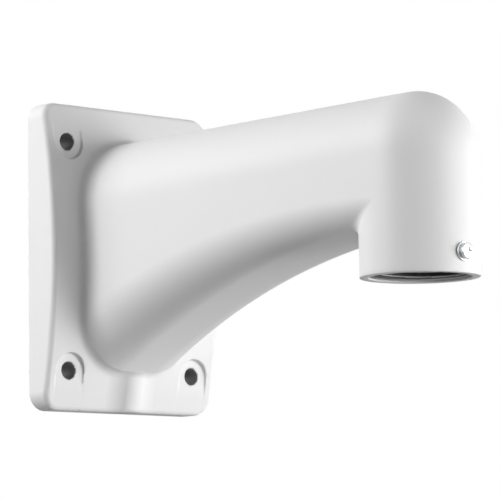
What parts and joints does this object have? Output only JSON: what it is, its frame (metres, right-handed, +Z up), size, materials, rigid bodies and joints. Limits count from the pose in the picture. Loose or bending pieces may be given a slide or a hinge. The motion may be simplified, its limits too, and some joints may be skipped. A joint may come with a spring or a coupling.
{
  "type": "camera wall bracket",
  "caption": "White cast wall bracket: a crowned plate with recessed screw holes and a hollow arm that turns down into a threaded tube for a hanging camera.",
  "frame": {"origin": "middle of the plate's wall side, at the centre of the four screw holes", "axes": "+X out of the wall along the arm, +Z up with the tube opening down, +Y completes the right-hand frame"},
  "size_m": [0.2717, 0.1168, 0.166],
  "materials": {
    "white_paint": "satin",
    "screw_metal": "polished",
    "washer_metal": "polished"
  },
  "bodies": {
    "root": {"bracket": "white_paint", "flat_washer": "washer_metal", "spring_washer": "washer_metal", "lock_screw": "screw_metal"}
  },
  "joints": []
}
